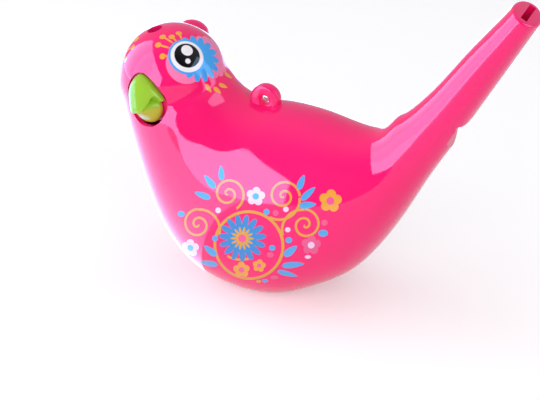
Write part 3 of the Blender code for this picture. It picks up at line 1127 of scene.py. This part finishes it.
def beak_green(groups):
    """Green plastic, with olive painted below the mouth as shade and pink bounce light from the
    skin.
    """
    made, tree, shader = blank_material("beak_green_plastic")
    where = tree.nodes.new("ShaderNodeTexCoord").outputs
    surface = place_group(
        tree,
        groups["moulding"],
        Place=where["Object"],
        Colour=GREEN,
        Deep_Colour=DEEP_GREEN,
        Roughness=0.2,
    )
    up = head_axes()[2]
    height = vector(tree, "DOT_PRODUCT", where["Object"], up)
    mouth = HEAD_MIDDLE.dot(up) + MOUTH_HEIGHT
    # Painted shade and bounce light: the bill turns olive below the mouth line
    painted_shade_share = clamped(tree, calculate(tree, "MULTIPLY_ADD", height, -1 / MM, mouth))
    feed(tree, shader["Base Color"], blend(tree, painted_shade_share, surface["Colour"], PAINTED_SHADE_AND_BOUNCE_OLIVE))
    feed(tree, shader["Roughness"], surface["Roughness"])
    feed(tree, shader["Normal"], bump(tree, surface["Height"]))
    shader["Specular IOR Level"].default_value = 0.25
    shader["Coat Weight"].default_value = 0.15
    shader["Coat Roughness"].default_value = 0.05
    return made


def paint(piece, material):
    piece.data.materials.clear()
    piece.data.materials.append(material)


# Studio, in metres
FLOOR_SIZE = 6.0
FLOOR_GLOW = 0.36
SURROUND_FILL = 0.3
SURROUND_BRIGHT_WAY = (0.0, 1.0, 0.35)
BIRD_PLACE = (0.0, 0.0, 0.04)
HEAD_PLACE = (-0.04, 0.0, 0.06)
COOL = (0.2, 0.55, 1.0)
PALE_COOL = (0.4, 0.65, 1.0)
STRAIGHT_UP = Vector((0.0, 0.0, 1.0))

# The upright row on the left: its middle, the way it faces, the way it runs, its height
ROW_MIDDLE = Vector((-0.411, -0.434, 0.37))
ROW_FACING = Vector((0.966, 0.259, 0.0))
ROW_ALONG = Vector((-0.259, 0.966, 0.0))
ROW_HEIGHT = 0.7
SOFTBOX_WIDTH = 1.94
SOFTBOX_RADIANCE = 1.4
SOFTBOX_ASIDE = 0.21
SOFTBOX_BACK = 0.04
ROW_CARDS = (
    # start and end along the row, radiance, dimmer towards the back
    (-1.15, -0.1, 10.5),
    (-0.1, 0.3, 8.5),
    (0.3, 0.7, 6.5),
)
FILLS = (
    # name, place, side, radiance
    ("front_fill", (0.4, -0.65, 0.4), 0.8, 1.7),
    ("top_fill", (0.1, 0.1, 0.8), 0.7, 0.9),
)
LOW_CARD = Vector((-0.671, -0.299, 0.002))
RIGHT_CARD = (0.48, 0.03, 0.26)


def seen_rays(tree):
    """1 for rays that show the background: straight from the camera, mirrored or passed through."""
    path = tree.nodes.new("ShaderNodeLightPath").outputs
    seen = calculate(tree, "MAXIMUM", path["Is Camera Ray"], path["Is Glossy Ray"])
    return calculate(tree, "MAXIMUM", seen, path["Is Transmission Ray"])


def studio_floor():
    deselect()
    bpy.ops.mesh.primitive_plane_add(size=FLOOR_SIZE)
    floor = bpy.context.object
    floor.name = "floor"
    made, tree, shader = blank_material("pale_floor")
    shader["Base Color"].default_value = FLOOR_GREY
    shader["Roughness"].default_value = 0.9
    shader["Specular IOR Level"].default_value = 0.1
    shader["Emission Color"].default_value = (1.0, 1.0, 1.0, 1.0)
    strength = calculate(tree, "MULTIPLY", seen_rays(tree), FLOOR_GLOW)
    feed(tree, shader["Emission Strength"], strength)
    paint(floor, made)


def white_surround():
    """A white world to the camera. Reflections see it pale behind and above the bird and dark in
    front, and the rest of the light gets an even fill."""
    world = bpy.data.worlds.new("white_surround")
    bpy.context.scene.world = world
    world.use_nodes = True
    tree = world.node_tree
    way = tree.nodes.new("ShaderNodeTexCoord").outputs["Generated"]
    mirrored = tree.nodes.new("ShaderNodeMapRange")
    mirrored.interpolation_type = "SMOOTHSTEP"
    feed(tree, mirrored.inputs["Value"], vector(tree, "DOT_PRODUCT", way, SURROUND_BRIGHT_WAY))
    mirrored.inputs["From Min"].default_value = -0.4
    mirrored.inputs["From Max"].default_value = 0.6
    mirrored.inputs["To Min"].default_value = 0.03
    mirrored.inputs["To Max"].default_value = 0.6
    path = tree.nodes.new("ShaderNodeLightPath").outputs
    seen = calculate(tree, "MAXIMUM", path["Is Camera Ray"], path["Is Transmission Ray"])
    strength = calculate(tree, "MULTIPLY_ADD", seen, 1 - SURROUND_FILL, SURROUND_FILL)
    more = calculate(tree, "SUBTRACT", mirrored.outputs["Result"], SURROUND_FILL)
    strength = calculate(tree, "MULTIPLY_ADD", path["Is Glossy Ray"], more, strength)
    feed(tree, tree.nodes["Background"].inputs["Strength"], strength)
    tree.nodes["Background"].inputs["Color"].default_value = (1.0, 1.0, 1.0, 1.0)


def panel(name, place, aim, width, height, radiance, tint=(1.0, 1.0, 1.0), spin=0.0):
    """A flat panel of light at a place, facing another place, both in metres."""
    light = bpy.data.lights.new(name, "AREA")
    light.shape = "RECTANGLE"
    light.size = width
    light.size_y = height
    light.energy = radiance * math.pi * width * height
    light.color = tint
    lamp = bpy.data.objects.new(name, light)
    bpy.context.collection.objects.link(lamp)
    lamp.location = place
    turn = (Vector(place) - Vector(aim)).to_track_quat("Z", "Y").to_matrix()
    lamp.rotation_euler = (turn @ Matrix.Rotation(spin, 3, "Z")).to_euler()
    lamp.visible_camera = False
    return lamp


def studio_lights():
    """Lamps that light the bird, and cards that only its gloss shows."""
    soft = ROW_MIDDLE - SOFTBOX_ASIDE * ROW_ALONG - SOFTBOX_BACK * ROW_FACING
    facing = soft + ROW_FACING
    lamps = [panel("left_softbox", soft, facing, SOFTBOX_WIDTH, ROW_HEIGHT, SOFTBOX_RADIANCE)]
    for name, place, side, radiance in FILLS:
        lamps.append(panel(name, place, BIRD_PLACE, side, side, radiance))
    for lamp in lamps:
        lamp.visible_glossy = False
    above = LOW_CARD + STRAIGHT_UP
    cards = [
        panel(
            "low_card",
            LOW_CARD,
            above,
            width=1.0,
            height=2.0,
            radiance=3.5,
            tint=COOL,
            spin=0.35,
        ),
        panel(
            "right_card",
            RIGHT_CARD,
            HEAD_PLACE,
            width=0.32,
            height=0.5,
            radiance=5.0,
            tint=PALE_COOL,
            spin=0.3,
        ),
    ]
    for start, end, radiance in ROW_CARDS:
        place = ROW_MIDDLE + (start + end) / 2 * ROW_ALONG
        size = (end - start, ROW_HEIGHT)
        cards.append(panel("left_card", place, place + ROW_FACING, *size, radiance, COOL))
    for card in cards:
        card.visible_diffuse = False


def studio_camera():
    right, up, back = camera_axes()
    data = bpy.data.cameras.new("camera")
    data.sensor_width = 36.0
    data.lens = CAMERA_LENS
    camera = bpy.data.objects.new("camera", data)
    bpy.context.collection.objects.link(camera)
    place = (CAMERA_TARGET + CAMERA_DISTANCE * back) * MM
    turn = Matrix((right, up, back)).transposed().to_4x4()
    camera.matrix_world = Matrix.Translation(place) @ turn
    bpy.context.scene.camera = camera


def main():
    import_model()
    studio_camera()
    groups = {
        "petals": petal_group(),
        "arc": arc_group(),
        "scroll": scroll_group(),
        "moulding": moulding_group(),
    }
    skin = bird_skin()
    paint(skin, printed_pink(groups))
    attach(skin, "root")
    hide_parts("body_left_shell", "body_right_shell")
    beak = beak_bills()
    paint(beak, beak_green(groups))
    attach(beak, "root")
    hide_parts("beak")
    studio_floor()
    studio_lights()
    white_surround()
    bpy.context.scene.view_settings.view_transform = "Standard"


main()
